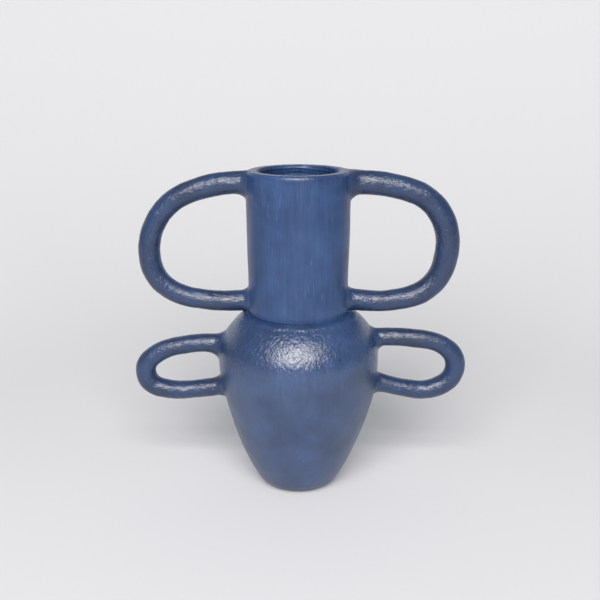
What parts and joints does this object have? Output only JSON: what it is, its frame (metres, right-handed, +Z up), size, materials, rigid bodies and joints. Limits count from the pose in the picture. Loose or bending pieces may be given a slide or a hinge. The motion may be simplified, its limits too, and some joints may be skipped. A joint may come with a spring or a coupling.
{
  "type": "amphora",
  "caption": "Hand-built ceramic amphora: straight wide neck on a soft-shouldered body that tapers to a small foot, large loop handles on the neck and smaller ones on the shoulder.",
  "frame": {"origin": "centre of the foot's flat underside, on the surface the vase stands on", "axes": "+Z up along the vase's axis, +X towards the right pair of handles, -Y towards the front"},
  "size_m": [0.3522, 0.1692, 0.34],
  "materials": {
    "wall_glaze": "satin denim-blue glaze with fine upright brush streaks",
    "coil_glaze": "satin denim-blue glaze over hand-pressed, slightly crinkled clay"
  },
  "bodies": {
    "root": {"base_slab": "wall_glaze", "lower_wall": "wall_glaze", "belly_wall": "wall_glaze", "shoulder_wall": "wall_glaze", "neck_cylinder": "wall_glaze", "base_inner_coil": "wall_glaze", "neck_inner_coil": "wall_glaze", "rim_coil": "coil_glaze", "upper_left_handle": "coil_glaze", "upper_left_top_luting_coil": "coil_glaze", "upper_left_bottom_luting_coil": "coil_glaze", "upper_right_handle": "coil_glaze", "upper_right_top_luting_coil": "coil_glaze", "upper_right_bottom_luting_coil": "coil_glaze", "lower_left_handle": "coil_glaze", "lower_left_top_luting_coil": "coil_glaze", "lower_left_bottom_luting_coil": "coil_glaze", "lower_right_handle": "coil_glaze", "lower_right_top_luting_coil": "coil_glaze", "lower_right_bottom_luting_coil": "coil_glaze"}
  },
  "joints": []
}
